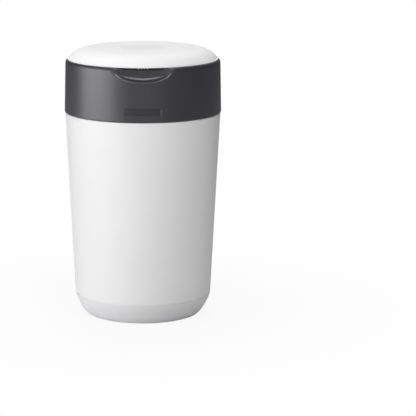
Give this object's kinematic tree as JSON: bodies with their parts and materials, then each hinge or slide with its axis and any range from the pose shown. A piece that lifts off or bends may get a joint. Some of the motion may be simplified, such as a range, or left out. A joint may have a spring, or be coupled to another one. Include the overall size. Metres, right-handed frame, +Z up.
{
  "type": "nappy bin",
  "caption": "Tapered round nappy bin with a hinged domed lid on a tilting head that holds a film cassette in a ratcheted twist ring.",
  "frame": {"origin": "centre of the base on the floor", "axes": "+Z up along the tub's axis, front (finger scoop and label recess) towards -Y, +X to the right seen from the front"},
  "size_m": [0.248, 0.2477, 0.4288],
  "materials": {
    "white_plastic": "fine satin",
    "base_plastic": "fine satin",
    "slate_plastic": "fine spark-eroded satin",
    "dark_plastic": "satin",
    "black_acetal": "smooth",
    "slider_plastic": "satin",
    "pad_rubber": "matte",
    "gripper_rubber": "matte",
    "steel": "zinc plated",
    "blade_steel": "ground",
    "film": "thin pleated film",
    "label": "printed"
  },
  "bodies": {
    "bin": {"tub": "white_plastic", "base_shell": "base_plastic", "base_pads": "pad_rubber", "tub_rim": "slate_plastic", "head_hinge_pin": "steel"},
    "head": {"head_collar": "slate_plastic", "cassette_cradle": "dark_plastic", "ring_retainer": "slate_plastic", "head_screws": "steel", "front_catch": "slate_plastic", "pawl_pins": "steel", "film_gripper": "gripper_rubber", "gripper_clamp": "slate_plastic", "gripper_screws": "steel", "cutter_guide": "slate_plastic", "lid_hinge_pin": "steel"},
    "lid": {"lid_shell": "white_plastic", "lid_liner": "base_plastic", "lid_seal": "pad_rubber", "liner_screws": "steel"},
    "turning_ring": {"twist_ring": "slate_plastic", "cassette_body": "dark_plastic", "cassette_core": "dark_plastic", "cassette_cover": "dark_plastic", "cassette_film": "film", "cassette_label": "label"},
    "pawl_left": {"click_pawl_left": "black_acetal"},
    "pawl_right": {"click_pawl_right": "black_acetal"},
    "cutter": {"cutter_slider": "slider_plastic", "cutter_blade": "blade_steel"}
  },
  "joints": [
    {"name": "head_tilt", "type": "hinge", "parent": "bin", "child": "head", "pos_m": [0, 0.114, 0.3255], "axis": [-1, 0, 0], "range_deg": [0, 100]},
    {"name": "lid_hinge", "type": "hinge", "parent": "head", "child": "lid", "pos_m": [0, 0.114, 0.4075], "axis": [-1, 0, 0], "range_deg": [0, 100]},
    {"name": "ring_twist", "type": "hinge", "parent": "head", "child": "turning_ring", "pos_m": [0, 0, 0.36], "axis": [0, 0, 1], "continuous": true},
    {"name": "pawl_right_click", "type": "hinge", "parent": "head", "child": "pawl_right", "pos_m": [0.1136, -0.016, 0.374], "axis": [0, 0, -1], "range_deg": [0, 7], "stiffness_Nm_per_rad": 0.05},
    {"name": "pawl_left_click", "type": "hinge", "parent": "head", "child": "pawl_left", "pos_m": [-0.1136, 0.016, 0.374], "axis": [0, 0, -1], "range_deg": [0, 7], "stiffness_Nm_per_rad": 0.05},
    {"name": "cutter_slide", "type": "slide", "parent": "head", "child": "cutter", "axis": [1, 0, 0], "range_m": [0, 0.068]}
  ]
}
